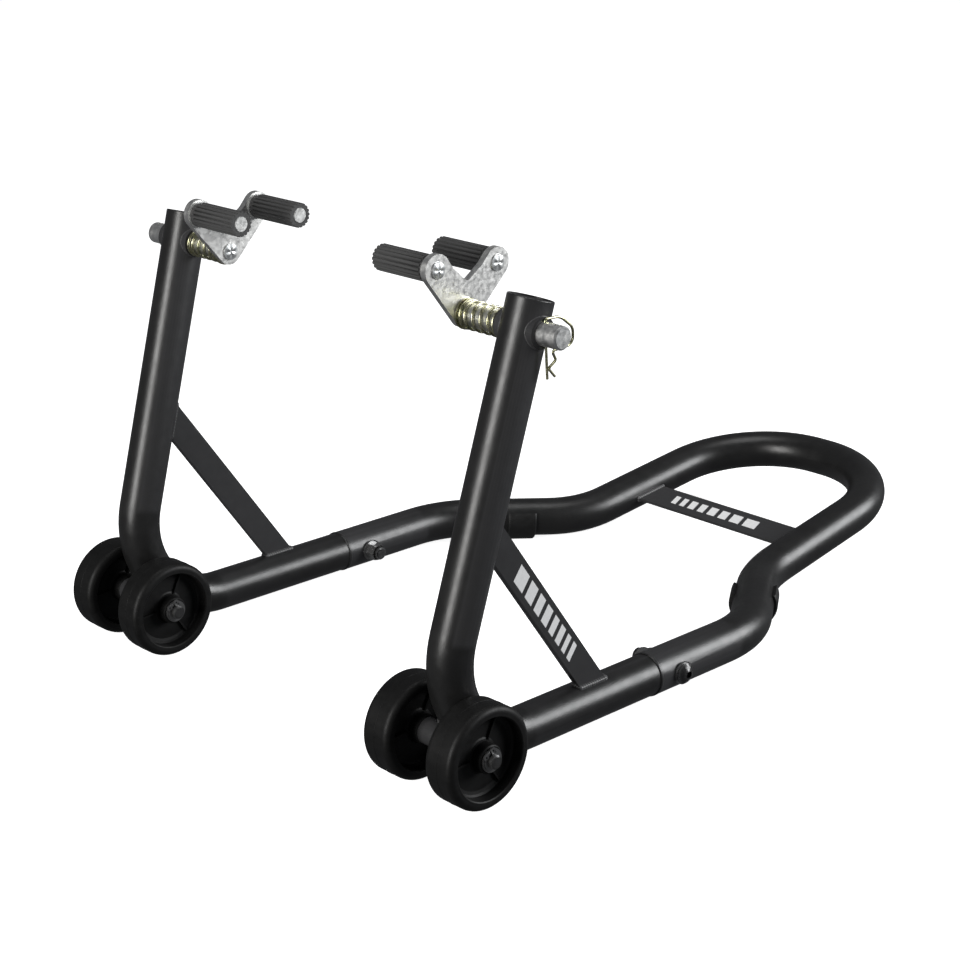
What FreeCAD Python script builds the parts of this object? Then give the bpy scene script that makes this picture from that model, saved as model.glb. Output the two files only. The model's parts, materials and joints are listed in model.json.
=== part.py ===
import FreeCAD, Part
import math
import os

from FreeCAD import Placement, Rotation, Vector

# Motorcycle rear paddock stand. Millimetres, +Z up, wheels at the -Y end, handle loop at the +Y end.
# Shapes are drawn about the corner where the upright and rail axes would meet, then moved so that
# Z = 0 is the ground and the origin is the middle of the footprint.

# Side tubes: upright, elbow and rail bent from one tube
HALF_TRACK = 175.9
TUBE_RADIUS = 16.0
TUBE_BORE = 14.0
UPRIGHT_SPLAY = 0.0322
UPRIGHT_LEAN = 0.2836
UPRIGHT_HEIGHT = 310.6
UPRIGHT_RIM_ROUND = 0.8
ELBOW_RADIUS = 70.0
RAIL_HEIGHT = 21.0

# Telescoped joint between rail and handle
JOINT_Y = 221.0
SPIGOT_LENGTH = 60.0
SPIGOT_RADIUS = 14.9
SPIGOT_BORE = 12.9
JOINT_BOLT_Y = 244.0
BOLT_RADIUS = 4.0
BOLT_HOLE_RADIUS = 4.2
BOLT_HEAD_RADIUS = 8.0
BOLT_HEAD_HEIGHT = 5.0
HEX_SOCKET_FLATS = 5.0
NUT_FLATS = 13.0
NUT_HEIGHT = 8.5
NUT_COLLAR_RADIUS = 5.6
NUT_COLLAR_HEIGHT = 2.4
JOINT_WASHER_RADIUS = 8.8
JOINT_WASHER_THICKNESS = 1.6

# Handle loop
HANDLE_RADIUS = 16.6
HANDLE_BORE = 15.0
HANDLE_TURN_IN = Vector(175.9, 340.3, 0.0)
HANDLE_TURN_UP = Vector(101.9, 443.8, -4.1)
HANDLE_END = Vector(91.7, 659.5, 27.1)
TURN_IN_RADIUS = 100.0
TURN_UP_RADIUS = 96.8
LOOP_RADIUS = 90.5

# Cross plate between the handle legs
CROSS_PLATE_Y = 515.2
CROSS_PLATE_WIDTH = 31.4
CROSS_PLATE_THICKNESS = 2.5

# Feet clipped under the handle legs
FOOT_FROM_TURN = 71.0
FOOT_LENGTH = 25.0
FOOT_RADIUS = 19.7
FOOT_WRAP = 236.0
FOOT_CHAMFER = 1.2

# Braces between upright and rail
BRACE_TOP_Y, BRACE_TOP_Z = 60.1, 150.0
BRACE_LOW_Y, BRACE_LOW_Z = 157.6, 16.0
BRACE_WIDTH = 20.8
BRACE_THICKNESS = 6.0
BRACE_OFFSET = 2.8

# Wheels, turning on a rod held by a short tube let into each elbow
AXLE_Y, AXLE_Z = 20.3, 16.0
WHEEL_RADIUS = 37.0
WHEEL_HALF_WIDTH = 13.0
WHEEL_OFFSET = 31.0
WHEEL_SHOULDER = 4.6
WHEEL_WEB_HALF = 3.0
WHEEL_RIM_BORE = 29.4
WHEEL_RIB_HALF = 0.7
WHEEL_RIB_RISE = 2.2
WHEEL_RIB_ANGLES = (64.0, 184.0, 304.0)
HUB_RADIUS = 10.2
HUB_BORE = 5.08
AXLE_RADIUS = 5.0
AXLE_HALF_LENGTH = 50.0
AXLE_TUBE_RADIUS = 9.5
AXLE_TUBE_HALF_LENGTH = 17.8
WASHER_THICKNESS = 1.2
WASHER_RADIUS = 8.4
WASHER_GAP = 0.15
CIRCLIP_THICKNESS = 1.0
CIRCLIP_RADIUS = 7.2
CIRCLIP_BORE = 4.6
GROOVE_RADIUS = 4.5
GROOVE_WIDTH = 1.2
CIRCLIP_GAP_HALF = 1.6
LUG_RADIUS = 2.3
LUG_HOLE_RADIUS = 0.8
LUG_HEIGHT = 6.9
LUG_OFFSET = 3.4
CIRCLIP_TURN = 28.0

# Swingarm supports, sliding and swivelling on pins along X
PIN_Z = 290.4
PIN_RADIUS = 8.0
PIN_SHOULDER_X, PIN_OUTER_X = 131.1, 221.0
STAKED_END_RADIUS = 5.6
PLATE_BORE = 5.68
PIN_CHAMFER = 1.3
PIN_HEAD_RADIUS = 6.4
PIN_HEAD_X, PIN_HEAD_SEAT_X = 124.9, 125.85
CLIP_X = 204.9
SPARE_HOLE_X = 214.2
CLIP_HOLE_RADIUS = 1.5
CLIP_LEAN = 3.9
BOSS_INNER_X, BOSS_OUTER_X = 168.0, 203.6
BOSS_RADIUS = 10.8
BOSS_BORE = 8.08
BOSS_CHAMFER = 1.0
PLATE_INNER_X, PLATE_OUTER_X = 126.0, 131.0
PLATE_LOBE_RADIUS = 10.8
PLATE_HUB_RADIUS = 10.0
PEG_Y, PEG_Z = 27.0, 31.4
NOTCH_Z = 21.2
NOTCH_SIDE_Y, NOTCH_SIDE_Z = 21.0, 37.8
NOTCH_FILLET = 3.5
PEG_RADIUS = 5.8
PEG_END_X = 75.8
PEG_CHAMFER = 0.6
SHOULDER_RADIUS = 9.6
SHOULDER_X = 124.6
STAKE_RADIUS = 5.9
STAKE_HEIGHT = 0.9
SLEEVE_INNER_X = 76.3
SLEEVE_COLLAR_X = 122.4
SLEEVE_COLLAR_RADIUS = 8.7
SLEEVE_RADIUS = 9.3
SLEEVE_VALLEY = 8.5
SLEEVE_RIBS = 18
SPRING_WASHER_RADIUS = 10.8
SPRING_WASHER_X = 131.1
SPRING_WASHER_THICKNESS = 1.6
SPRING_RADIUS = 9.4
SPRING_WIRE = 1.0
SPRING_TURNS = 4.0
SPRING_DEAD_TURNS = 1.0
SPRING_STEPS = 12
CLIP_WIRE = 0.95
CLIP_LEG_END = -30.5
CLIP_CORNERS = (
    (0.0, 10.0, 2.2), (13.5, 8.6, 14.0), (25.2, -1.6, 8.0), (24.6, -12.9, 5.5),
    (5.2, -12.7, 1.6), (8.6, -19.6, 1.6), (1.35, -23.6, 1.4),
)
CLIP_TAIL_END = (7.0, -30.4)
SUPPORT_SWIVEL_RIGHT, SUPPORT_SWIVEL_LEFT = 3.4, 1.2

# Plugs in the tops of the uprights
PLUG_DEPTH = 7.0
PLUG_RECESS = 1.0
PLUG_CHAMFER = 1.0

FRONT_Y = AXLE_Y - WHEEL_RADIUS
BACK_Y = HANDLE_END.y + HANDLE_RADIUS
SHIFT = Vector(0.0, -(FRONT_Y + BACK_Y) / 2.0, RAIL_HEIGHT)
GROUND_Z = -RAIL_HEIGHT
ALONG_X = Vector(1.0, 0.0, 0.0)
BIG = 400.0


def upright_point(height):
    """Return the point of the right upright's axis at a height above the rail axis."""
    return Vector(HALF_TRACK + UPRIGHT_SPLAY * height, UPRIGHT_LEAN * height, height)


def rod(start, end, radius):
    """Return a solid cylinder between two points."""
    run = end - start
    return Part.makeCylinder(radius, run.Length, start, run)


def rod_x(x_start, x_end, radius, y=0.0, z=0.0):
    """Return a cylinder along X."""
    return rod(Vector(x_start, y, z), Vector(x_end, y, z), radius)


def ring_x(x_start, x_end, outer, inner, y=0.0, z=0.0):
    """Return a ring whose axis lies along X."""
    return rod_x(x_start, x_end, outer, y, z).cut(rod_x(x_start - 1.0, x_end + 1.0, inner, y, z))


def mirrored(shape):
    """Return the left-hand copy of a right-hand shape."""
    return shape.mirror(Vector(0, 0, 0), ALONG_X)


def bent_wire(points, radii):
    """Return a wire of straight runs joined by arcs at the inner points."""
    edges = []
    start = points[0]
    for before, corner, after, radius in zip(points, points[1:], points[2:], radii):
        back = (before - corner).normalize()
        ahead = (after - corner).normalize()
        half_angle = back.getAngle(ahead) / 2.0
        setback = radius / math.tan(half_angle)
        bisector = (back + ahead).normalize()
        centre = corner + bisector * (radius / math.sin(half_angle))
        arc_start = corner + back * setback
        arc_end = corner + ahead * setback
        edges.append(Part.makeLine(start, arc_start))
        edges.append(Part.Arc(arc_start, centre - bisector * radius, arc_end).toShape())
        start = arc_end
    edges.append(Part.makeLine(start, points[-1]))
    return Part.Wire(edges)


def swept(wire, start, heading, radius):
    """Return a round solid swept along a wire."""
    profile = Part.Wire([Part.makeCircle(radius, start, heading)])
    return wire.makePipeShell([profile], True, False)


def bent_rod(points, radii, radius):
    """Return a solid rod bent through points."""
    return swept(bent_wire(points, radii), points[0], points[1] - points[0], radius)


def side_path():
    return [upright_point(UPRIGHT_HEIGHT), Vector(HALF_TRACK, 0, 0), Vector(HALF_TRACK, JOINT_Y, 0)]


def bolt_hole():
    reach = HANDLE_RADIUS + 4.0
    return rod_x(HALF_TRACK - reach, HALF_TRACK + reach, BOLT_HOLE_RADIUS, JOINT_BOLT_Y)


def boss_core():
    centre = upright_point(PIN_Z)
    return rod_x(BOSS_INNER_X, BOSS_OUTER_X, BOSS_RADIUS, centre.y, centre.z)


def axle_tube_core():
    low = HALF_TRACK - AXLE_TUBE_HALF_LENGTH
    high = HALF_TRACK + AXLE_TUBE_HALF_LENGTH
    return rod_x(low, high, AXLE_TUBE_RADIUS, AXLE_Y, AXLE_Z)


def side_tube():
    """Return the bent side tube with its reduced spigot, open for the boss and the axle tube."""
    spigot_end = Vector(HALF_TRACK, JOINT_Y + SPIGOT_LENGTH, 0)
    shape = bent_rod(side_path(), [ELBOW_RADIUS], TUBE_RADIUS)
    shape = shape.makeFillet(UPRIGHT_RIM_ROUND, [edge_nearest(shape, upright_point(UPRIGHT_HEIGHT))])
    shape = shape.cut(bent_rod(side_path(), [ELBOW_RADIUS], TUBE_BORE))
    neck = Vector(HALF_TRACK, JOINT_Y - 6.0, 0)
    spigot = rod(neck, spigot_end, SPIGOT_RADIUS).cut(rod(neck, spigot_end, SPIGOT_BORE))
    shape = shape.fuse(spigot)
    for tool in (boss_core(), axle_tube_core(), bolt_hole()):
        shape = shape.cut(tool)
    return shape.removeSplitter()


def pin_boss():
    """Return the sleeve that carries a support pin through the upright."""
    centre = upright_point(PIN_Z)
    shape = rod_x(BOSS_INNER_X, BOSS_OUTER_X, BOSS_RADIUS, centre.y, centre.z)
    rim = edge_nearest(shape, Vector(BOSS_OUTER_X, centre.y, centre.z))
    shape = shape.makeChamfer(BOSS_CHAMFER, [rim])
    bore = rod_x(BOSS_INNER_X - 1.0, BOSS_OUTER_X + 1.0, BOSS_BORE, centre.y, centre.z)
    return shape.cut(bore)


def top_plug():
    """Return the plug set just below the rim of the upright."""
    top = upright_point(UPRIGHT_HEIGHT)
    down = (Vector(HALF_TRACK, 0, 0) - top).normalize()
    start = top + down * PLUG_RECESS
    shape = rod(start, start + down * PLUG_DEPTH, TUBE_BORE)
    return shape.makeChamfer(PLUG_CHAMFER, [edge_nearest(shape, start)])


def edge_nearest(shape, point):
    """Return the circular edge whose centre is nearest a point."""
    rims = [edge for edge in shape.Edges if isinstance(edge.Curve, Part.Circle)]
    return min(rims, key=lambda edge: (edge.Curve.Center - point).Length)


def brace():
    """Return the flat bar between upright and rail, coped to both."""
    top = Vector(0, BRACE_TOP_Y, BRACE_TOP_Z)
    low = Vector(0, BRACE_LOW_Y, BRACE_LOW_Z)
    run = low - top
    overlap = TUBE_RADIUS
    bar = Part.makeBox(BRACE_THICKNESS, BRACE_WIDTH, run.Length + 2 * overlap)
    bar.translate(Vector(-BRACE_THICKNESS / 2, -BRACE_WIDTH / 2, -overlap))
    bar.Placement = Placement(top, Rotation(Vector(0, 0, 1), run)).multiply(bar.Placement)
    bar.translate(Vector(HALF_TRACK + BRACE_OFFSET, 0, 0))
    return bar.cut(bent_rod(side_path(), [ELBOW_RADIUS], TUBE_RADIUS))


def axle_tube():
    low = HALF_TRACK - AXLE_TUBE_HALF_LENGTH - 1.0
    high = HALF_TRACK + AXLE_TUBE_HALF_LENGTH + 1.0
    return axle_tube_core().cut(rod_x(low, high, AXLE_RADIUS, AXLE_Y, AXLE_Z))


def handle_path():
    start = Vector(HALF_TRACK, JOINT_Y, 0)
    half = [start, HANDLE_TURN_IN, HANDLE_TURN_UP, HANDLE_END]
    return half + [Vector(-point.x, point.y, point.z) for point in reversed(half)]


def handle_solid(radius):
    radii = [TURN_IN_RADIUS, TURN_UP_RADIUS, LOOP_RADIUS]
    return bent_rod(handle_path(), radii + radii[::-1], radius)


def handle_loop():
    """Return the handle: two sockets, two legs turned in and up, and the closed loop."""
    shape = handle_solid(HANDLE_RADIUS).cut(handle_solid(HANDLE_BORE))
    return shape.cut(bolt_hole()).cut(mirrored(bolt_hole()))


def leg_slope():
    rise = HANDLE_END.z - HANDLE_TURN_UP.z
    return rise / (HANDLE_END.y - HANDLE_TURN_UP.y)


def handle_cross_plate():
    """Return the plate across the handle legs, lying in the plane of the loop."""
    centre_z = HANDLE_TURN_UP.z + (CROSS_PLATE_Y - HANDLE_TURN_UP.y) * leg_slope()
    plate = Part.makeBox(2 * HANDLE_TURN_UP.x, CROSS_PLATE_WIDTH, CROSS_PLATE_THICKNESS)
    plate.translate(Vector(-HANDLE_TURN_UP.x, -CROSS_PLATE_WIDTH / 2, -CROSS_PLATE_THICKNESS))
    tilt = math.degrees(math.atan(leg_slope()))
    plate.rotate(Vector(0, 0, 0), ALONG_X, tilt)
    plate.translate(Vector(0, CROSS_PLATE_Y, centre_z))
    pieces = plate.cut(handle_solid(HANDLE_RADIUS)).Solids
    return min(pieces, key=lambda piece: abs(piece.CenterOfMass.x))


def foot():
    """Return the saddle clipped round the underside of a handle leg, with a flat sole."""
    heading = (HANDLE_TURN_UP - HANDLE_TURN_IN).normalize()
    centre = HANDLE_TURN_IN + heading * FOOT_FROM_TURN
    start = centre - heading * (FOOT_LENGTH / 2)
    end = centre + heading * (FOOT_LENGTH / 2)
    shape = rod(start, end, FOOT_RADIUS)
    shape = shape.makeChamfer(FOOT_CHAMFER, [edge_nearest(shape, start), edge_nearest(shape, end)])
    shape = shape.cut(rod(start - heading, end + heading, HANDLE_RADIUS))
    side = heading.cross(Vector(0, 0, 1)).normalize()
    open_angle = math.radians(360.0 - FOOT_WRAP) / 2.0
    reach = 5 * FOOT_RADIUS
    corners = [Vector(0, 0, 0)]
    for sign in (-1, 1):
        outward = side * (sign * reach * math.sin(open_angle))
        corners.append(outward + Vector(0, 0, reach * math.cos(open_angle)))
    wedge_face = Part.Face(Part.makePolygon([start - heading + corner for corner in corners + corners[:1]]))
    shape = shape.cut(wedge_face.extrude(heading * (FOOT_LENGTH + 2)))
    below = Part.makeBox(BIG, BIG, BIG, Vector(0, centre.y - BIG / 2, GROUND_Z - BIG))
    return shape.cut(below)


def hexagon_x(x_start, x_end, flats, y, z=0.0):
    """Return a hexagonal prism along X."""
    radius = flats / math.sqrt(3.0)
    points = []
    for step in range(7):
        angle = math.radians(60.0 * step)
        points.append(Vector(x_start, y + radius * math.cos(angle), z + radius * math.sin(angle)))
    return Part.Face(Part.makePolygon(points)).extrude(Vector(x_end - x_start, 0, 0))


def joint_bolt():
    """Return the button-head bolt with a hex socket, head outward."""
    seat = HALF_TRACK + HANDLE_RADIUS + JOINT_WASHER_THICKNESS
    top = seat + BOLT_HEAD_HEIGHT
    tip = HALF_TRACK - HANDLE_RADIUS - JOINT_WASHER_THICKNESS - NUT_HEIGHT - NUT_COLLAR_HEIGHT - 1.0
    dome_radius = (BOLT_HEAD_RADIUS ** 2 + BOLT_HEAD_HEIGHT ** 2) / (2 * BOLT_HEAD_HEIGHT) + 1.2
    dome = Part.makeSphere(dome_radius, Vector(top - dome_radius, JOINT_BOLT_Y, 0))
    head = rod_x(seat, top, BOLT_HEAD_RADIUS, JOINT_BOLT_Y).common(dome)
    head = head.cut(hexagon_x(top - 2.6, top + 1.0, HEX_SOCKET_FLATS, JOINT_BOLT_Y))
    return head.fuse(rod_x(tip, seat + 0.5, BOLT_RADIUS, JOINT_BOLT_Y))


def joint_washers():
    outer_seat = HALF_TRACK + HANDLE_RADIUS
    inner_seat = HALF_TRACK - HANDLE_RADIUS
    outer_span = (outer_seat, outer_seat + JOINT_WASHER_THICKNESS)
    inner_span = (inner_seat - JOINT_WASHER_THICKNESS, inner_seat)
    pieces = []
    for low, high in (outer_span, inner_span):
        pieces.append(ring_x(low, high, JOINT_WASHER_RADIUS, BOLT_HOLE_RADIUS, JOINT_BOLT_Y))
    return pieces


def joint_nut():
    """Return the lock nut with its raised collar."""
    seat = HALF_TRACK - HANDLE_RADIUS - JOINT_WASHER_THICKNESS
    top = seat - NUT_HEIGHT
    body = hexagon_x(seat, top, NUT_FLATS, JOINT_BOLT_Y)
    corner_trim = Part.makeSphere(NUT_FLATS * 0.64, Vector(seat - NUT_HEIGHT / 2 + 1.2, JOINT_BOLT_Y, 0))
    body = body.common(corner_trim)
    collar = rod_x(top - NUT_COLLAR_HEIGHT, top + 1.0, NUT_COLLAR_RADIUS, JOINT_BOLT_Y)
    bore = rod_x(seat + 1.0, top - NUT_COLLAR_HEIGHT - 1.0, BOLT_RADIUS, JOINT_BOLT_Y)
    return body.fuse(collar).cut(bore)


def wheel_profile():
    """Return half of the wheel's section as (x, radius) pairs from the bore to the rim face."""
    web = WHEEL_WEB_HALF
    bore = WHEEL_RIM_BORE
    face = WHEEL_HALF_WIDTH
    return [
        (face, HUB_BORE), (face, HUB_RADIUS - 0.8), (face - 0.8, HUB_RADIUS),
        (web + 2.4, HUB_RADIUS + 0.6), (web + 1.2, HUB_RADIUS + 1.4), (web + 0.6, HUB_RADIUS + 2.6),
        (web, bore - 4.0), (web + 0.5, bore - 1.8), (web + 1.8, bore - 0.6),
        (face - 0.6, bore), (face, bore + 0.7), (face, WHEEL_RADIUS - WHEEL_SHOULDER),
    ]


def wheel_blank():
    """Return the wheel turned about the X axis, without its ribs."""
    half = wheel_profile()
    shoulder_x = WHEEL_HALF_WIDTH - WHEEL_SHOULDER
    arc_middle = WHEEL_SHOULDER * math.sqrt(0.5)
    right = [Vector(x, radius, 0) for x, radius in half]
    left = [Vector(-x, radius, 0) for x, radius in reversed(half)]
    edges = [Part.makeLine(a, b) for a, b in zip(right, right[1:])]
    shoulder_radius = WHEEL_RADIUS - WHEEL_SHOULDER
    for sign in (1, -1):
        rim = Vector(sign * WHEEL_HALF_WIDTH, shoulder_radius, 0)
        tread = Vector(sign * shoulder_x, WHEEL_RADIUS, 0)
        middle = Vector(sign * (shoulder_x + arc_middle), shoulder_radius + arc_middle, 0)
        edges.append(Part.Arc(rim, middle, tread).toShape())
    edges.append(Part.makeLine(Vector(shoulder_x, WHEEL_RADIUS, 0), Vector(-shoulder_x, WHEEL_RADIUS, 0)))
    edges += [Part.makeLine(a, b) for a, b in zip(left, left[1:])]
    edges.append(Part.makeLine(left[-1], right[0]))
    outline = Part.Wire(Part.__sortEdges__(edges))
    return Part.Face(outline).revolve(Vector(0, 0, 0), ALONG_X, 360)


def wheel():
    """Return a one-piece wheel with three ribs on each side of its web."""
    shape = wheel_blank()
    rib_top = WHEEL_WEB_HALF + WHEEL_RIB_RISE
    for angle in WHEEL_RIB_ANGLES:
        rib = Part.makeBox(2 * rib_top, WHEEL_RIM_BORE + 2.0 - HUB_RADIUS, 2 * WHEEL_RIB_HALF)
        rib.translate(Vector(-rib_top, HUB_RADIUS - 1.0, -WHEEL_RIB_HALF))
        rib.rotate(Vector(0, 0, 0), ALONG_X, angle)
        shape = shape.fuse(rib)
    return shape


def placed_wheel(side, offset):
    shape = wheel()
    shape.translate(Vector(side * HALF_TRACK + offset, AXLE_Y, AXLE_Z))
    return shape


def washer_start():
    return WHEEL_OFFSET + WHEEL_HALF_WIDTH + WASHER_GAP


def circlip_start():
    return washer_start() + WASHER_THICKNESS + 0.1


def wheel_axle():
    """Return the axle rod with a groove for a circlip near each end."""
    low = HALF_TRACK - AXLE_HALF_LENGTH
    high = HALF_TRACK + AXLE_HALF_LENGTH
    shape = rod_x(low, high, AXLE_RADIUS, AXLE_Y, AXLE_Z)
    ends = [Vector(x, AXLE_Y, AXLE_Z) for x in (low, high)]
    shape = shape.makeChamfer(1.0, [edge_nearest(shape, end) for end in ends])
    for sign in (1, -1):
        start = HALF_TRACK + sign * (circlip_start() - 0.1)
        end = start + sign * GROOVE_WIDTH
        low, high = min(start, end), max(start, end)
        shape = shape.cut(ring_x(low, high, AXLE_RADIUS + 1.0, GROOVE_RADIUS, AXLE_Y, AXLE_Z))
    return shape


def axle_washers():
    pieces = []
    for sign in (1, -1):
        start = HALF_TRACK + sign * washer_start()
        end = start + sign * WASHER_THICKNESS
        low, high = min(start, end), max(start, end)
        pieces.append(ring_x(low, high, WASHER_RADIUS, AXLE_RADIUS + 0.1, AXLE_Y, AXLE_Z))
    return pieces


def axle_circlips():
    """Return the open rings with lug holes that hold the wheels on one axle."""
    pieces = []
    for sign in (1, -1):
        start = HALF_TRACK + sign * circlip_start()
        end = start + sign * CIRCLIP_THICKNESS
        low, high = min(start, end), max(start, end)
        shape = rod_x(low, high, CIRCLIP_RADIUS, AXLE_Y, AXLE_Z)
        for lug_side in (1, -1):
            lug_y = AXLE_Y + lug_side * LUG_OFFSET
            shape = shape.fuse(rod_x(low, high, LUG_RADIUS, lug_y, AXLE_Z + LUG_HEIGHT))
        for lug_side in (1, -1):
            lug_y = AXLE_Y + lug_side * LUG_OFFSET
            shape = shape.cut(rod_x(low - 1, high + 1, LUG_HOLE_RADIUS, lug_y, AXLE_Z + LUG_HEIGHT))
        shape = shape.cut(rod_x(low - 1, high + 1, CIRCLIP_BORE, AXLE_Y, AXLE_Z))
        gap = Part.makeBox(high - low + 2, 2 * CIRCLIP_GAP_HALF, 2 * CIRCLIP_RADIUS)
        gap.translate(Vector(low - 1, AXLE_Y - CIRCLIP_GAP_HALF, AXLE_Z))
        shape = shape.cut(gap)
        shape.rotate(Vector(0, AXLE_Y, AXLE_Z), ALONG_X, CIRCLIP_TURN)
        pieces.append(shape)
    return pieces


def pin_axis():
    return upright_point(PIN_Z).y


def swivelled(shape, angle):
    """Return a shape turned about the pin, front peg up for a positive angle."""
    result = shape.copy()
    result.rotate(Vector(0.0, pin_axis(), PIN_Z), ALONG_X, -angle)
    return result


def support_pin():
    """Return the sliding pin: a staked end that the plate turns on, then the shank with its two cross holes."""
    y, z = pin_axis(), PIN_Z
    shape = rod_x(PIN_SHOULDER_X, PIN_OUTER_X, PIN_RADIUS, y, z)
    shape = shape.makeChamfer(PIN_CHAMFER, [edge_nearest(shape, Vector(PIN_OUTER_X, y, z))])
    staked_end = rod_x(PIN_HEAD_X + 0.2, PIN_SHOULDER_X + 1.0, STAKED_END_RADIUS, y, z)
    head = rod_x(PIN_HEAD_X, PIN_HEAD_SEAT_X, PIN_HEAD_RADIUS, y, z)
    head = head.makeChamfer(0.4, [edge_nearest(head, Vector(PIN_HEAD_X, y, z))])
    shape = shape.fuse(staked_end).fuse(head)
    for x in (CLIP_X, SPARE_HOLE_X):
        low, high = Vector(x, y, z - 2 * PIN_RADIUS), Vector(x, y, z + 2 * PIN_RADIUS)
        shape = shape.cut(rod(low, high, CLIP_HOLE_RADIUS))
    return shape


def plate_outline():
    """Return the V plate's outline around the pin axis, without holes."""
    lobes = [Vector(0, -PEG_Y, PEG_Z), Vector(0, PEG_Y, PEG_Z)]
    hub = Vector(0, 0, 0)
    outline = None
    for lobe in lobes:
        run = lobe - hub
        across = Vector(0, -run.z, run.y).normalize()
        narrow, wide = across * PLATE_HUB_RADIUS, across * PLATE_LOBE_RADIUS
        corners = [hub + narrow, lobe + wide, lobe - wide, hub - narrow]
        arm = Part.Face(Part.makePolygon(corners + corners[:1])).extrude(ALONG_X * plate_thickness())
        arm = arm.fuse(rod_x(0, plate_thickness(), PLATE_LOBE_RADIUS, lobe.y, lobe.z))
        outline = arm if outline is None else outline.fuse(arm)
    left_side, right_side = Vector(0, -NOTCH_SIDE_Y, NOTCH_SIDE_Z), Vector(0, NOTCH_SIDE_Y, NOTCH_SIDE_Z)
    notch = [hub, right_side, Vector(0, 0, NOTCH_Z), left_side]
    web = Part.Face(Part.makePolygon(notch + notch[:1])).extrude(ALONG_X * plate_thickness())
    outline = outline.fuse(web).fuse(rod_x(0, plate_thickness(), PLATE_HUB_RADIUS))
    return outline.removeSplitter()


def plate_thickness():
    return PLATE_OUTER_X - PLATE_INNER_X


def notch_edge(shape):
    """Return the edge along X at the bottom of the V notch."""
    found = []
    for edge in shape.Edges:
        centre = edge.CenterOfMass
        on_middle = abs(centre.y) < 0.5 and centre.z > 5.0
        if on_middle and abs(edge.tangentAt(edge.FirstParameter).x) > 0.99:
            found.append(edge)
    return found


def support_plate():
    shape = plate_outline()
    shape = shape.makeFillet(NOTCH_FILLET, notch_edge(shape))
    shape = shape.cut(rod_x(-1, plate_thickness() + 1, PLATE_BORE))
    for side in (1, -1):
        shape = shape.cut(rod_x(-1, plate_thickness() + 1, PEG_RADIUS, side * PEG_Y, PEG_Z))
    shape.translate(Vector(PLATE_INNER_X, pin_axis(), PIN_Z))
    return shape


def roller_pegs():
    """Return both pegs: shank, shoulder against the plate and staked head on its outer face."""
    pieces = []
    for side in (1, -1):
        y, z = pin_axis() + side * PEG_Y, PIN_Z + PEG_Z
        shape = rod_x(PEG_END_X, PLATE_OUTER_X + 0.2, PEG_RADIUS, y, z)
        shape = shape.makeChamfer(PEG_CHAMFER, [edge_nearest(shape, Vector(PEG_END_X, y, z))])
        shape = shape.fuse(rod_x(SHOULDER_X, PLATE_INNER_X, SHOULDER_RADIUS, y, z))
        head = rod_x(PLATE_OUTER_X, PLATE_OUTER_X + STAKE_HEIGHT, STAKE_RADIUS, y, z)
        head = head.makeChamfer(0.5, [edge_nearest(head, Vector(PLATE_OUTER_X + STAKE_HEIGHT, y, z))])
        pieces.append(shape.fuse(head))
    return pieces


def rubber_sleeves():
    """Return both sleeves pushed onto the pegs, ribbed along their length, plain next to the plate."""
    pieces = []
    pitch = 360.0 / SLEEVE_RIBS
    turns = ((-0.24, SLEEVE_RADIUS), (0.24, SLEEVE_RADIUS), (0.40, SLEEVE_VALLEY), (0.60, SLEEVE_VALLEY))
    for side in (1, -1):
        y, z = pin_axis() + side * PEG_Y, PIN_Z + PEG_Z
        points = []
        for rib in range(SLEEVE_RIBS):
            for share, radius in turns:
                angle = math.radians(pitch * (rib + share))
                across, rise = radius * math.cos(angle), radius * math.sin(angle)
                points.append(Vector(SLEEVE_INNER_X, y + across, z + rise))
        outline = Part.Face(Part.makePolygon(points + points[:1]))
        shape = outline.extrude(Vector(SLEEVE_COLLAR_X - SLEEVE_INNER_X, 0, 0))
        shape = shape.fuse(rod_x(SLEEVE_COLLAR_X - 1, SHOULDER_X, SLEEVE_COLLAR_RADIUS, y, z))
        pieces.append(shape.cut(rod_x(SLEEVE_INNER_X - 1, SHOULDER_X + 1, PEG_RADIUS, y, z)))
    return pieces


def spring_washer():
    end = SPRING_WASHER_X + SPRING_WASHER_THICKNESS
    return ring_x(SPRING_WASHER_X, end, SPRING_WASHER_RADIUS, BOSS_BORE, pin_axis(), PIN_Z)


def spring_height(turn, length):
    """Return how far along the spring a given turn lies: close-wound ends, open middle."""
    dead_pitch = 2 * SPRING_WIRE + 0.15
    if turn <= SPRING_DEAD_TURNS:
        return turn * dead_pitch
    if turn >= SPRING_DEAD_TURNS + SPRING_TURNS:
        return length - (spring_total_turns() - turn) * dead_pitch
    open_length = length - 2 * SPRING_DEAD_TURNS * dead_pitch
    return SPRING_DEAD_TURNS * dead_pitch + open_length * (turn - SPRING_DEAD_TURNS) / SPRING_TURNS


def spring_total_turns():
    return SPRING_TURNS + 2 * SPRING_DEAD_TURNS


def spring():
    """Return the compression spring, wound in one piece between washer and boss."""
    start = SPRING_WASHER_X + SPRING_WASHER_THICKNESS + SPRING_WIRE + 0.05
    length = BOSS_INNER_X - SPRING_WIRE - 0.05 - start
    steps = int(spring_total_turns() * SPRING_STEPS)
    points = []
    for step in range(steps + 1):
        turn = step / SPRING_STEPS
        angle = 2 * math.pi * turn
        across, rise = SPRING_RADIUS * math.cos(angle), SPRING_RADIUS * math.sin(angle)
        along = start + spring_height(turn, length)
        points.append(Vector(along, pin_axis() + across, PIN_Z + rise))
    curve = Part.BSplineCurve()
    curve.interpolate(points)
    heading = curve.tangent(curve.FirstParameter)[0]
    return swept(Part.Wire([curve.toShape()]), points[0], heading, SPRING_WIRE)


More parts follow.
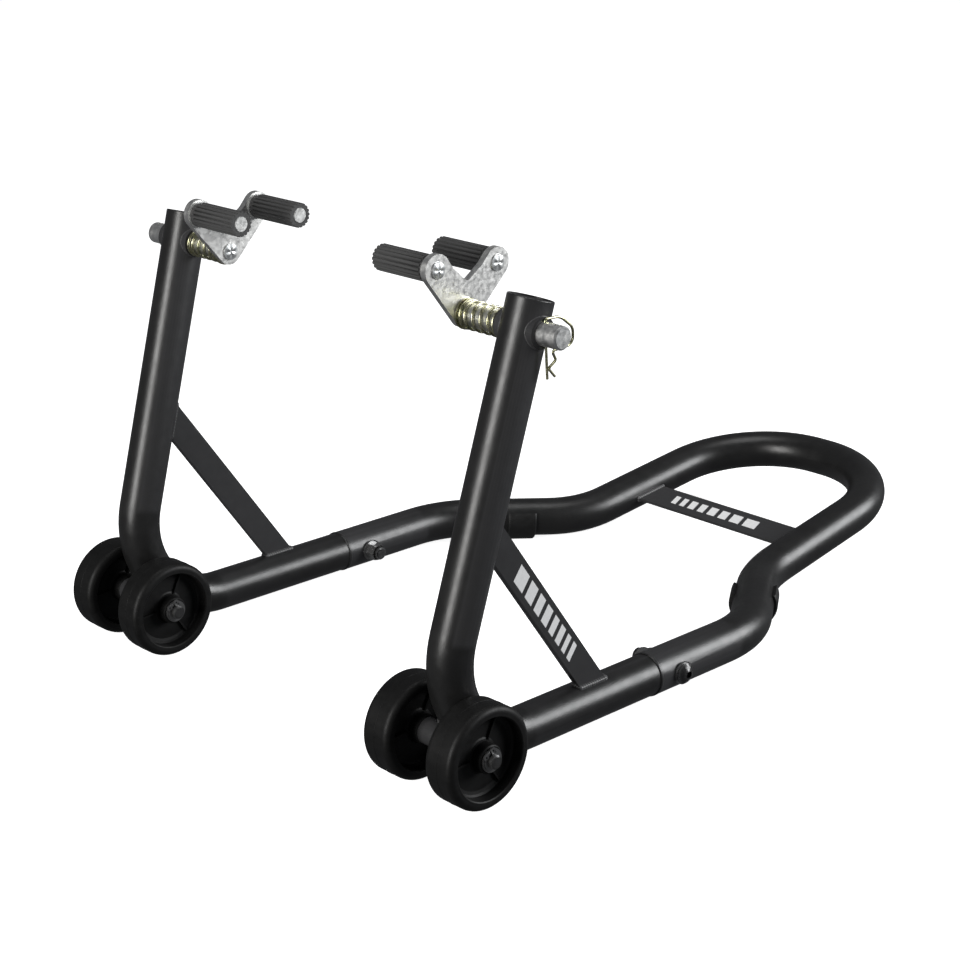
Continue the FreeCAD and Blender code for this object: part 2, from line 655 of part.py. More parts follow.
def r_clip():
    """Return the spring clip: a straight leg through the pin, an eye and a waved leg."""
    places = [(0.0, CLIP_LEG_END)] + [corner[:2] for corner in CLIP_CORNERS] + [CLIP_TAIL_END]
    points = [Vector(CLIP_X, pin_axis() + y, PIN_Z + z) for y, z in places]
    return bent_rod(points, [corner[2] for corner in CLIP_CORNERS], CLIP_WIRE)


def single_solid(shape):
    """Return the one solid inside a boolean result."""
    solids = shape.Solids
    if len(solids) != 1:
        raise ValueError("expected one solid, found %d" % len(solids))
    return solids[0]


def save(name, shapes):
    """Write one sub-part, moved onto the ground, as a STEP file."""
    solids = []
    for shape in shapes:
        solid = single_solid(shape).copy()
        solid.translate(SHIFT)
        if not solid.isValid():
            raise ValueError(name + " is not a valid solid")
        solids.append(solid)
    whole = solids[0] if len(solids) == 1 else Part.makeCompound(solids)
    whole.exportStep("parts/%s.step" % name)
    box = whole.BoundBox
    sizes = (box.XMin, box.XMax, box.YMin, box.YMax, box.ZMin, box.ZMax)
    print(name, len(solids), " ".join("%.1f" % value for value in sizes))


def both_sides(name, shapes):
    save(name + "_right", shapes)
    save(name + "_left", [mirrored(shape) for shape in shapes])


def shared_node(name, shapes):
    """Save identical fasteners of both sides in one node."""
    save(name, shapes + [mirrored(shape) for shape in shapes])


def turned_sides(name, shapes, right_angle, left_angle):
    """Save the parts on each support pin, turned about it by an angle for each side."""
    save(name + "_right", [swivelled(shape, right_angle) for shape in shapes])
    save(name + "_left", [mirrored(swivelled(shape, left_angle)) for shape in shapes])


def save_wheels():
    for side, side_name in ((1, "right"), (-1, "left")):
        save("wheel_%s_outer" % side_name, [placed_wheel(side, side * WHEEL_OFFSET)])
        save("wheel_%s_inner" % side_name, [placed_wheel(side, -side * WHEEL_OFFSET)])


def main():
    os.makedirs("parts", exist_ok=True)
    both_sides("side_tube", [side_tube()])
    both_sides("pin_boss", [pin_boss()])
    both_sides("top_plug", [top_plug()])
    both_sides("brace", [brace()])
    both_sides("axle_tube", [axle_tube()])
    save("handle_loop", [handle_loop()])
    save("handle_cross_plate", [handle_cross_plate()])
    both_sides("foot", [foot()])
    shared_node("joint_bolts", [joint_bolt()])
    shared_node("joint_nuts", [joint_nut()])
    shared_node("joint_washers", joint_washers())
    save_wheels()
    both_sides("wheel_axle", [wheel_axle()])
    shared_node("axle_washers", axle_washers())
    shared_node("axle_circlips", axle_circlips())
    swivels = (SUPPORT_SWIVEL_RIGHT, SUPPORT_SWIVEL_LEFT)
    turned_sides("support_plate", [support_plate()], *swivels)
    turned_sides("roller_pegs", roller_pegs(), *swivels)
    turned_sides("rubber_sleeves", rubber_sleeves(), *swivels)
    turned_sides("support_pin", [support_pin()], -CLIP_LEAN, -CLIP_LEAN)
    turned_sides("r_clip", [r_clip()], -CLIP_LEAN, -CLIP_LEAN)
    both_sides("spring_washer", [spring_washer()])
    both_sides("spring", [spring()])


main()
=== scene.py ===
import json
import math

import bmesh
import bpy
from mathutils import Matrix, Vector


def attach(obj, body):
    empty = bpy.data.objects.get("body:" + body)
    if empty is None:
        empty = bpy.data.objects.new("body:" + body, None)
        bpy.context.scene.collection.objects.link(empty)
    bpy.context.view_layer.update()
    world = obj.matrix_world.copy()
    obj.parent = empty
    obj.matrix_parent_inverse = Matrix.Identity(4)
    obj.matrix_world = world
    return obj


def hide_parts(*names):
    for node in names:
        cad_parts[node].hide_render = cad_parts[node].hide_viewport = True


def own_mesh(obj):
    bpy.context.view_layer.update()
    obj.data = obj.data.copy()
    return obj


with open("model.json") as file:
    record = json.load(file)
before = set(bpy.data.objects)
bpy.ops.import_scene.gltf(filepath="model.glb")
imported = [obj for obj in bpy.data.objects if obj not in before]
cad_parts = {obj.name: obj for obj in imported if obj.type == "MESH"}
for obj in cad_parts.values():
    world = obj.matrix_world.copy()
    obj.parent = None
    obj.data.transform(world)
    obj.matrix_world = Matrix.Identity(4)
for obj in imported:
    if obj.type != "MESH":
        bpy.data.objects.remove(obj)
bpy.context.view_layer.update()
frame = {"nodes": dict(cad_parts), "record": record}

NODES = frame["nodes"]
SIDES = (("right", 1), ("left", -1))

# Camera, solved with the stand's own size
CAMERA_PLACE = (1.09527, -1.15609, 0.65017)
CAMERA_AZIMUTH = 46.297
CAMERA_PITCH = 18.976
CAMERA_LENS = 77.15

# Frame dimensions repeated from the CAD model, in metres
SIDE_X = 0.1759
SPLAY = 0.0322
LEAN = 0.2836
CORNER_Y = -0.3297
RAIL_Z = 0.021
TUBE_RADIUS = 0.016
ELBOW_RADIUS = 0.070
UPRIGHT_TOP = 0.3106
JOINT_Y = 0.221
HANDLE_RADIUS = 0.0166
TURN_IN = (0.1759, 0.3403, 0.0)
TURN_UP = (0.1019, 0.4438, -0.0041)
HANDLE_END = (0.0917, 0.6595, 0.0271)
HANDLE_BENDS = (0.100, 0.0968, 0.0905)
PIN_HEIGHT = 0.2904
PIN_MIDDLE_X = SIDE_X + SPLAY * PIN_HEIGHT
BOSS_RADIUS = 0.0108
AXLE_Y, AXLE_Z = 0.0203, 0.016
AXLE_TUBE_RADIUS = 0.0095
WHEEL_RADIUS = 0.037
WHEEL_OFFSET = 0.0310
BRACE_TOP = (0.0601, 0.150)
BRACE_LOW = (0.1576, 0.016)
BRACE_WIDTH = 0.0208
BRACE_THICKNESS = 0.006
BRACE_OFFSET = 0.0028
PLATE_Y = 0.5152
PLATE_WIDTH = 0.0314
PLATE_THICKNESS = 0.0025
PEG_Y, PEG_Z = 0.027, 0.0314
PEG_HEAD_X = 0.1319
PIN_INNER_X = 0.1249
PIN_TURN = -3.9
STAKE_HEIGHT = 0.0006
SWIVELS = {"right": 3.4, "left": 1.2}
SPRING_START, SPRING_END = 0.1327, 0.168
SPRING_RADIUS = 0.0094
SPRING_TURNS = 4.0
SPRING_WIRE = 0.0010
PRINT_BARS = (2.6, 2.0, 1.6, 1.6, 1.3, 1.3, 1.0, 1.0)
PRINT_GAP = 0.8

# Sizes that only the visual model has, in metres and degrees
BOSS_BEAD, AXLE_BEAD, BRACE_LOW_BEAD, BRACE_TOP_BEAD, PLATE_BEAD = 0.0005, 0.0014, 0.0019, 0.0017, 0.0017
BRACE_PRINT_SIZE = (0.094, 0.0122)
PLATE_PRINT_SIZE = (0.096, 0.0135)
PRINT_SLANT = 0.004
PEG_STAKE_RADIUS, PIN_STAKE_RADIUS, STAKE_TURN = 0.0056, 0.0060, 40
FLOOR_RADIUS, FLOOR_SEGMENTS, FLOOR_GLOW = 14.0, 96, 0.9
WORLD_STRENGTH = 0.10

# Lamps: name, place, aimed at, size, watts, tint
LAMPS = (
    ("left_box", (0.08, -2.4, 0.75), (0, 0, 0.15), (0.80, 1.5), 46, (1.0, 0.99, 0.97)),
    ("right_box", (1.6, 1.7, 0.95), (0, 0, 0.05), (1.7, 1.1), 64, (0.98, 0.99, 1.0)),
    ("top_box", (0.0, 0.1, 2.4), (0, 0, 0.0), (1.2, 1.2), 12, (1, 1, 1)),
)


# ---------------------------------------------------------------- geometry helpers

def placed(point):
    """Return a point measured from the elbow corner, moved into the stand's own frame."""
    return Vector((point[0], point[1] + CORNER_Y, point[2] + RAIL_Z))


def support_move(side, turn=0.0):
    """Return the move that sets a shape drawn along X about a pin's middle into its place."""
    middle = placed((PIN_MIDDLE_X, LEAN * PIN_HEIGHT, PIN_HEIGHT))
    move = Matrix.Translation(middle) @ Matrix.Rotation(math.radians(-turn), 4, "X")
    if side < 0:
        return Matrix.Scale(-1, 4, Vector((1, 0, 0))) @ move
    return move


def mirrored(points, side):
    """Return points mirrored to the left when side is -1."""
    return [Vector((side * p.x, p.y, p.z)) for p in points]


def rounded_path(points, radii, step=0.003):
    """Return dense points along straight runs joined by arcs."""
    points = [Vector(p) for p in points]
    path = [points[0]]
    for before, corner, after, radius in zip(points, points[1:], points[2:], radii):
        back = (before - corner).normalized()
        ahead = (after - corner).normalized()
        half = back.angle(ahead) / 2
        bisector = (back + ahead).normalized()
        centre = corner + bisector * (radius / math.sin(half))
        start = corner + back * (radius / math.tan(half))
        end = corner + ahead * (radius / math.tan(half))
        count = max(6, int(radius * (math.pi - 2 * half) / step))
        for index in range(count + 1):
            spoke = (start - centre).slerp(end - centre, index / count)
            path.append(centre + spoke.normalized() * radius)
    path.append(points[-1])
    return path


def filled(path, step=0.003):
    """Return a path with points no further apart than a step."""
    dense = []
    for start, end in zip(path, path[1:]):
        count = max(1, int((end - start).length / step))
        for index in range(count):
            dense.append(start.lerp(end, index / count))
    dense.append(path[-1])
    return dense


def side_centreline():
    top = (SIDE_X + SPLAY * UPRIGHT_TOP, LEAN * UPRIGHT_TOP, UPRIGHT_TOP)
    corners = [placed(top), placed((SIDE_X, 0, 0)), placed((SIDE_X, JOINT_Y, 0))]
    return filled(rounded_path(corners, [ELBOW_RADIUS]))


def handle_centreline():
    half = [(SIDE_X, JOINT_Y, 0), TURN_IN, TURN_UP, HANDLE_END]
    corners = [placed(p) for p in half]
    corners += [Vector((-p.x, p.y, p.z)) for p in reversed(corners)]
    return filled(rounded_path(corners, list(HANDLE_BENDS) + list(HANDLE_BENDS)[::-1]))


def distance_to(point, path):
    """Return how far a point lies from a dense path."""
    return min((point - other).length for other in path)


def reach_surface(start, heading, path, radius, limit=0.06):
    """Return where a ray from outside meets the surface of a tube, or None."""
    heading = heading.normalized()
    near = [p for p in path if (p - start).length < limit + radius + 0.02]
    if not near:
        return None
    low, high = 0.0, None
    steps = 60
    for index in range(1, steps + 1):
        travel = limit * index / steps
        if distance_to(start + heading * travel, near) < radius:
            high = travel
            break
        low = travel
    if high is None:
        return None
    for _ in range(12):
        middle = (low + high) / 2
        if distance_to(start + heading * middle, near) < radius:
            high = middle
        else:
            low = middle
    return start + heading * high


def new_object(name, mesh, material, body, smooth=True):
    """Put a mesh in the scene, riding on a CAD body."""
    piece = bpy.data.objects.new(name, mesh)
    bpy.context.scene.collection.objects.link(piece)
    mesh.materials.append(material)
    for polygon in mesh.polygons:
        polygon.use_smooth = smooth
    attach(piece, body)
    return piece


def tube_mesh(name, path, radius_at, sides=12, closed=False):
    """Return a tube along a path whose radius varies with the distance along it."""
    mesh_builder = bmesh.new()
    count = len(path)
    rings = []
    travelled = 0.0
    reference = None
    for index, centre in enumerate(path):
        if closed:
            ahead, behind = path[(index + 1) % count], path[index - 1]
        else:
            ahead, behind = path[min(index + 1, count - 1)], path[max(index - 1, 0)]
        tangent = (ahead - behind).normalized()
        if reference is None:
            reference = tangent.orthogonal().normalized()
        reference = (reference - tangent * reference.dot(tangent)).normalized()
        across = tangent.cross(reference)
        if index:
            travelled += (centre - path[index - 1]).length
        radius = radius_at(travelled)
        ring = []
        for corner in range(sides):
            angle = 2 * math.pi * corner / sides
            offset = reference * math.cos(angle) + across * math.sin(angle)
            ring.append(mesh_builder.verts.new(centre + offset * radius))
        rings.append(ring)
    pairs = list(zip(rings, rings[1:]))
    if closed:
        pairs.append((rings[-1], rings[0]))
    for first, second in pairs:
        for corner in range(sides):
            following = (corner + 1) % sides
            mesh_builder.faces.new((first[corner], first[following], second[following], second[corner]))
    if not closed:
        mesh_builder.faces.new(list(reversed(rings[0])))
        mesh_builder.faces.new(rings[-1])
    bmesh.ops.recalc_face_normals(mesh_builder, faces=mesh_builder.faces)
    mesh = bpy.data.meshes.new(name)
    mesh_builder.to_mesh(mesh)
    mesh_builder.free()
    return mesh


def resampled(path, step, closed=False):
    """Return a path with evenly spaced points."""
    points = list(path) + ([path[0]] if closed else [])
    result = [points[0].copy()]
    carried = 0.0
    for start, end in zip(points, points[1:]):
        length = (end - start).length
        travel = step - carried
        while travel <= length and length > 0:
            result.append(start.lerp(end, travel / length))
            travel += step
        carried = (carried + length) % step
    if closed and (result[-1] - result[0]).length < step * 0.5:
        result.pop()
    return result


def weld_bead(name, path, radius, body, closed=False, pitch=0.0022):
    """Lay a rippled weld bead along a path."""
    path = resampled(path, 0.0004, closed)

    def ripple(travelled):
        phase = (travelled / pitch) % 1.0
        return radius * (0.86 + 0.22 * math.sqrt(max(0.0, 1.0 - (2.0 * phase - 1.0) ** 2)))

    mesh = tube_mesh(name, path, ripple, 12, closed)
    return new_object(name, mesh, MATERIALS["weld"], body)


# ---------------------------------------------------------------- materials

class Shader:
    """A small builder for one procedural material."""

    def __init__(self, name):
        self.material = bpy.data.materials.new(name)
        self.material.use_nodes = True
        self.tree = self.material.node_tree
        self.surface = self.tree.nodes["Principled BSDF"]
        self.place = self.tree.nodes.new("ShaderNodeTexCoord").outputs["Object"]

    def set(self, **values):
        for key, value in values.items():
            self.surface.inputs[key.replace("_", " ")].default_value = value
        return self

    def link(self, output, target):
        self.tree.links.new(output, target)

    def noise(self, scale, detail=3.0, roughness=0.55, stretch=(1, 1, 1)):
        mapping = self.tree.nodes.new("ShaderNodeMapping")
        mapping.inputs["Scale"].default_value = stretch
        texture = self.tree.nodes.new("ShaderNodeTexNoise")
        texture.inputs["Scale"].default_value = scale
        texture.inputs["Detail"].default_value = detail
        texture.inputs["Roughness"].default_value = roughness
        self.link(self.place, mapping.inputs["Vector"])
        self.link(mapping.outputs["Vector"], texture.inputs["Vector"])
        return texture.outputs["Fac"]

    def cells(self, scale):
        texture = self.tree.nodes.new("ShaderNodeTexVoronoi")
        texture.inputs["Scale"].default_value = scale
        self.link(self.place, texture.inputs["Vector"])
        return texture.outputs["Distance"]

    def ramp(self, source, *stops):
        """Map a 0..1 value to colours given as (place, colour)."""
        node = self.tree.nodes.new("ShaderNodeValToRGB")
        elements = node.color_ramp.elements
        while len(elements) > 1:
            elements.remove(elements[-1])
        elements[0].position = stops[0][0]
        elements[0].color = shade(stops[0][1])
        for place, colour in stops[1:]:
            element = elements.new(place)
            element.color = shade(colour)
        self.link(source, node.inputs["Fac"])
        return node.outputs["Color"]

    def mix(self, share, first, second):
        node = self.tree.nodes.new("ShaderNodeMix")
        node.data_type = "RGBA"
        self.link(share, node.inputs["Factor"])
        for value, socket in ((first, node.inputs["A"]), (second, node.inputs["B"])):
            if isinstance(value, bpy.types.NodeSocket):
                self.link(value, socket)
            else:
                socket.default_value = shade(value)
        return node.outputs["Result"]

    def range(self, source, low, high, from_low=0.3, from_high=0.7):
        node = self.tree.nodes.new("ShaderNodeMapRange")
        node.inputs["From Min"].default_value = from_low
        node.inputs["From Max"].default_value = from_high
        node.inputs["To Min"].default_value = low
        node.inputs["To Max"].default_value = high
        self.link(source, node.inputs["Value"])
        return node.outputs["Result"]

    def bump(self, *layers):
        """Stack bumps given as (height, strength, distance)."""
        normal = None
        for height, strength, distance in layers:
            node = self.tree.nodes.new("ShaderNodeBump")
            node.inputs["Strength"].default_value = strength
            node.inputs["Distance"].default_value = distance
            self.link(height, node.inputs["Height"])
            if normal is not None:
                self.link(normal, node.inputs["Normal"])
            normal = node.outputs["Normal"]
        self.link(normal, self.surface.inputs["Normal"])

    def edges(self, low=0.52, high=0.60):
        """Return a 0..1 mask of convex edges."""
        geometry = self.tree.nodes.new("ShaderNodeNewGeometry")
        return self.range(geometry.outputs["Pointiness"], 0.0, 1.0, low, high)


def shade(value):
    """Return a colour with alpha from a grey level or an RGB triple."""
    if isinstance(value, (int, float)):
        return (value, value, value, 1.0)
    return (*value, 1.0)


def powder_coat(name, base=0.0095, light=0.0155, rough=(0.29, 0.37)):
    """Satin black powder coat: fine orange peel, slight cloudiness, thinner on edges."""
    s = Shader(name).set(Specular_IOR_Level=0.5)
    cloud = s.noise(38, 4)
    colour = s.ramp(cloud, (0.3, base), (0.72, light))
    worn = s.mix(s.edges(), colour, (light * 2.6, light * 2.6, light * 2.7))
    s.link(worn, s.surface.inputs["Base Color"])
    s.link(s.range(s.noise(140, 3), rough[0], rough[1]), s.surface.inputs["Roughness"])
    s.bump((s.noise(900, 2), 0.10, 0.0004), (s.noise(2600, 2), 0.20, 0.0002))
    return s.material


def moulded_plastic(name, base=0.016, light=0.028, rough=(0.38, 0.5), grain=1800, gloss=0.5):
    """Moulded black plastic with fine grain, flow marks and a little dust."""
    s = Shader(name).set(Specular_IOR_Level=gloss)
    flow = s.noise(55, 4, 0.6, (1.0, 1.0, 3.0))
    colour = s.ramp(flow, (0.3, base), (0.75, light))
    distance = s.cells(420)
    dust = s.range(distance, 1.0, 0.0, 0.03, 0.11)
    sparse = s.range(s.noise(60, 2), 0.0, 1.0, 0.55, 0.72)
    both = s.tree.nodes.new("ShaderNodeMath")
    both.operation = "MULTIPLY"
    s.link(dust, both.inputs[0])
    s.link(sparse, both.inputs[1])
    dusty = s.mix(both.outputs["Value"], colour, (0.10, 0.10, 0.10))
    s.link(dusty, s.surface.inputs["Base Color"])
    s.link(s.range(s.noise(210, 3), rough[0], rough[1]), s.surface.inputs["Roughness"])
    s.bump((s.noise(grain, 2), 0.16, 0.0003), (s.noise(120, 3), 0.05, 0.001))
    return s.material


def rubber(name):
    s = Shader(name).set(Specular_IOR_Level=0.5)
    colour = s.ramp(s.noise(160, 4), (0.3, 0.012), (0.75, 0.024))
    # Painted highlight: the convex rib crests get a lighter grey base colour so that they look lit.
    painted_crest_highlight = s.mix(s.edges(0.50, 0.58), colour, 0.075)
    s.link(painted_crest_highlight, s.surface.inputs["Base Color"])
    s.link(s.range(s.noise(400, 3), 0.28, 0.42), s.surface.inputs["Roughness"])
    s.bump((s.noise(2400, 2), 0.25, 0.0003))
    return s.material


def clear_zinc(name, gain=0.8, rough=(0.28, 0.46)):
    """Bright zinc plate: mottled silver, faint rolling lines and duller patches."""
    s = Shader(name).set(Metallic=1.0)
    patches = s.noise(170, 5, 0.6)
    tones = [(0.25, (0.52, 0.55, 0.56)), (0.5, (0.74, 0.76, 0.76)), (0.8, (0.96, 0.96, 0.93))]
    colour = s.ramp(patches, *[(place, tuple(gain * part for part in tone)) for place, tone in tones])
    bright = s.mix(s.edges(0.51, 0.58), colour, (0.92, 0.92, 0.90))
    s.link(bright, s.surface.inputs["Base Color"])
    s.link(s.range(s.noise(320, 4), *rough), s.surface.inputs["Roughness"])
    s.bump((s.noise(600, 3, 0.6, (0.3, 1.0, 1.0)), 0.18, 0.0003), (s.noise(2200, 2), 0.14, 0.0002))
    return s.material


def yellow_zinc(name):
    """Yellow passivated zinc: straw to pale green and pink tints over bright metal."""
    s = Shader(name).set(Metallic=1.0)
    tint = s.noise(230, 3, 0.5)
    colour = s.ramp(tint, (0.28, (0.34, 0.39, 0.25)), (0.45, (0.54, 0.52, 0.32)),
                    (0.60, (0.62, 0.61, 0.45)), (0.76, (0.52, 0.46, 0.38)))
    s.link(colour, s.surface.inputs["Base Color"])
    s.link(s.range(s.noise(500, 3), 0.20, 0.36), s.surface.inputs["Roughness"])
    s.bump((s.noise(2500, 2), 0.10, 0.0002))
    return s.material


def dark_steel(name, base, light, rough, rubbed_level):
    """Blackened or oiled steel with brighter rubbed edges."""
    s = Shader(name).set(Metallic=0.85)
    colour = s.ramp(s.noise(260, 4), (0.3, base), (0.75, light))
    rubbed = s.mix(s.edges(0.51, 0.6), colour, rubbed_level)
    s.link(rubbed, s.surface.inputs["Base Color"])
    s.link(s.range(s.noise(420, 3), rough[0], rough[1]), s.surface.inputs["Roughness"])
    s.bump((s.noise(1500, 2), 0.12, 0.0002))
    return s.material


def white_print(name):
    """Screen-printed white ink, slightly uneven over the powder coat."""
    s = Shader(name)
    colour = s.ramp(s.noise(420, 4), (0.25, 0.88), (0.6, 0.96))
    s.link(colour, s.surface.inputs["Base Color"])
    s.link(s.range(s.noise(300, 3), 0.42, 0.56), s.surface.inputs["Roughness"])
    s.bump((s.noise(1500, 2), 0.12, 0.0002))
    return s.material


def floor_paper(name):
    s = Shader(name)
    colour = s.ramp(s.noise(3, 3), (0.3, 0.86), (0.7, 0.89))
    s.link(colour, s.surface.inputs["Base Color"])
    s.set(Roughness=0.75, Specular_IOR_Level=0.2)
    s.set(Emission_Color=(1.0, 1.0, 1.0, 1.0), Emission_Strength=FLOOR_GLOW)
    s.bump((s.noise(500, 2), 0.03, 0.0005))
    return s.material


def make_materials():
    return {
        "frame": powder_coat("powder_coat_black"),
        # Painted highlight: the weld beads get a lighter grey copy of the black powder coat, standing in
        # for the grey sheen on their ripples.
        "weld": powder_coat("weld_coat_painted_highlight", 0.030, 0.055, (0.26, 0.42)),
        "plug": moulded_plastic("plug_plastic", 0.007, 0.012, (0.42, 0.56)),
        "foot": moulded_plastic("foot_plastic", 0.006, 0.012, (0.38, 0.50)),
        "wheel": moulded_plastic("wheel_plastic", 0.004, 0.008, (0.44, 0.56), gloss=0.22),
        "bolt": dark_steel("bolt_black_oxide", 0.010, 0.030, (0.20, 0.34), 0.30),
        "axle": dark_steel("axle_steel", 0.008, 0.026, (0.26, 0.40), 0.22),
        "zinc": clear_zinc("zinc_plate"),
        "stake": clear_zinc("zinc_stake", 0.8, (0.34, 0.46)),
        "yellow": yellow_zinc("yellow_zinc"),
        "rubber": rubber("sleeve_rubber"),
        "print": white_print("white_print"),
    }


SLOT_MATERIALS = {
    "frame_black": "frame", "plug_black": "plug", "foot_black": "foot", "bolt_black": "bolt",
    "wheel_black": "wheel", "axle_dark": "axle", "zinc": "zinc", "sleeve_rubber": "rubber",
    "yellow_zinc": "yellow",
}


def dress_cad_nodes():
    """Give every CAD node the material of its slot."""
    slots = {part["node"]: part["material_slot"] for part in frame["record"]["subparts"]}
    for name, node in NODES.items():
        node.data.materials.clear()
        node.data.materials.append(MATERIALS[SLOT_MATERIALS[slots[name]]])


# ---------------------------------------------------------------- welds

def ring_path(centre, axis, radius, count=72):
    """Return points on a circle round an axis."""
    first = axis.orthogonal().normalized()
    second = axis.cross(first).normalized()
    points = []
    for index in range(count):
        angle = 2 * math.pi * index / count
        points.append(centre + first * math.cos(angle) * radius + second * math.sin(angle) * radius)
    return points


def weld_through_tube(name, side, y, z, radius, path, lift, bead):
    """Lay beads where a cross tube passes through a side tube, on both of its faces."""
    for face, direction in (("outer", 1), ("inner", -1)):
        centre = placed((SIDE_X + SPLAY * z, y, z))
        start_x = centre.x + direction * 0.04
        runs = [[]]
        for point in ring_path(Vector((start_x, centre.y, centre.z)), Vector((1, 0, 0)), radius + lift):
            hit = reach_surface(point, Vector((-direction, 0, 0)), path, TUBE_RADIUS)
            if hit is None:
                runs.append([])
            else:
                runs[-1].append(hit)
        if len(runs) > 1:
            runs[0] = runs.pop() + runs[0]
        for number, run in enumerate(runs):
            if len(run) < 6:
                continue
            label = "%s_%s_%d" % (name, face, number)
            closed = len(runs) == 1
            weld_bead(label, mirrored(run, side), bead, "frame", closed)


def weld_bar_end(name, side, centre, heading, width_axis, thick_axis, size, path, radius, bead):
    """Lay a bead round a flat bar where it meets a tube."""
    half_width, half_thickness = size[0] / 2, size[1] / 2
    hits = []
    steps = 16
    turns = ((-1, -1), (1, -1), (1, 1), (-1, 1), (-1, -1))
    for (w0, t0), (w1, t1) in zip(turns, turns[1:]):
        for index in range(steps):
            share = index / steps
            across = width_axis * (w0 + (w1 - w0) * share) * half_width
            up = thick_axis * (t0 + (t1 - t0) * share) * half_thickness
            hit = reach_surface(centre + across + up, heading, path, radius)
            if hit is not None:
                hits.append(hit)
    weld_bead(name, mirrored(hits, side), bead, "frame", True)


def add_brace_welds(side_name, side, path):
    top = placed((SIDE_X + BRACE_OFFSET, *BRACE_TOP))
    low = placed((SIDE_X + BRACE_OFFSET, *BRACE_LOW))
    heading = (low - top).normalized()
    thick_axis = Vector((1, 0, 0))
    width_axis = heading.cross(thick_axis).normalized()
    size = (BRACE_WIDTH, BRACE_THICKNESS)
    weld_bar_end("weld_brace_low_" + side_name, side, low - heading * 0.035, heading, width_axis,
                 thick_axis, size, path, TUBE_RADIUS, BRACE_LOW_BEAD)
    weld_bar_end("weld_brace_top_" + side_name, side, top + heading * 0.035, -heading, width_axis,
                 thick_axis, size, path, TUBE_RADIUS, BRACE_TOP_BEAD)


def loop_slope():
    return (HANDLE_END[2] - TURN_UP[2]) / (HANDLE_END[1] - TURN_UP[1])


def plate_frame():
    """Return the cross plate's middle and its in-plane and normal directions."""
    angle = math.atan(loop_slope())
    along = Vector((0, math.cos(angle), math.sin(angle)))
    normal = Vector((0, -math.sin(angle), math.cos(angle)))
    height = TURN_UP[2] + (PLATE_Y - TURN_UP[1]) * loop_slope()
    top_middle = placed((0, PLATE_Y, height))
    return top_middle, along, normal


def add_plate_welds(side_name, side, path):
    top_middle, along, normal = plate_frame()
    centre = top_middle - normal * (PLATE_THICKNESS / 2) + Vector((0.055, 0, 0))
    weld_bar_end("weld_cross_plate_" + side_name, side, centre, Vector((1, 0, 0)), along, normal,
                 (PLATE_WIDTH, PLATE_THICKNESS), path, HANDLE_RADIUS, PLATE_BEAD)


def add_welds():
    side_path = side_centreline()
    handle_path = handle_centreline()
    pin_y = LEAN * PIN_HEIGHT
    for side_name, side in SIDES:
        weld_through_tube("weld_boss_" + side_name, side, pin_y, PIN_HEIGHT, BOSS_RADIUS, side_path,
                          0.0, BOSS_BEAD)
        weld_through_tube("weld_axle_" + side_name, side, AXLE_Y, AXLE_Z, AXLE_TUBE_RADIUS, side_path,
                          0.0006, AXLE_BEAD)
        add_brace_welds(side_name, side, side_path)
        add_plate_welds(side_name, side, handle_path)


# ---------------------------------------------------------------- printed bars

def slab(mesh_builder, corners, normal, depth=0.00006):
    """Add a thin printed patch over four corners."""
    upper = [mesh_builder.verts.new(c + normal * depth) for c in corners]
    lower = [mesh_builder.verts.new(c - normal * depth) for c in corners]
    mesh_builder.faces.new(upper)
    mesh_builder.faces.new(list(reversed(lower)))
    for index in range(len(corners)):
        following = (index + 1) % len(corners)
        mesh_builder.faces.new((upper[index], lower[index], lower[following], upper[following]))


def bar_pattern(name, middle, along, across, normal, length, height, slant):
    """Print a row of slanted bars, each narrower than the last, on a flat surface."""
    scale = length / (sum(PRINT_BARS) + PRINT_GAP * (len(PRINT_BARS) - 1))
    cursor = -length / 2
    mesh_builder = bmesh.new()
    for bar in PRINT_BARS:
        width = bar * scale
        corners = []
        for u, v in ((0, -1), (width, -1), (width, 1), (0, 1)):
            corners.append(middle + along * (cursor + u + v * slant / 2) + across * (v * height / 2))
        slab(mesh_builder, corners, normal)
        cursor += width + PRINT_GAP * scale
    bmesh.ops.recalc_face_normals(mesh_builder, faces=mesh_builder.faces)
    mesh = bpy.data.meshes.new(name)
    mesh_builder.to_mesh(mesh)
    mesh_builder.free()
    return new_object(name, mesh, MATERIALS["print"], "frame", smooth=False)


def add_prints():
    for side_name, side in SIDES:
        outer_x = SIDE_X + BRACE_OFFSET + BRACE_THICKNESS / 2
        top = placed((outer_x, *BRACE_TOP))
        low = placed((outer_x, *BRACE_LOW))
        middle, heading = mirrored([top.lerp(low, 0.505), (low - top).normalized()], side)
        normal = Vector((side, 0, 0))
        across = heading.cross(normal).normalized() * side
        bar_pattern("brace_print_" + side_name, middle, heading, across, normal,
                    *BRACE_PRINT_SIZE, PRINT_SLANT)
    top_middle, along, normal = plate_frame()
    middle = top_middle + Vector((-0.006, 0, 0))
    bar_pattern("plate_print", middle, Vector((-1, 0, 0)), along, normal, *PLATE_PRINT_SIZE, PRINT_SLANT)


# ---------------------------------------------------------------- pins, pegs, spring

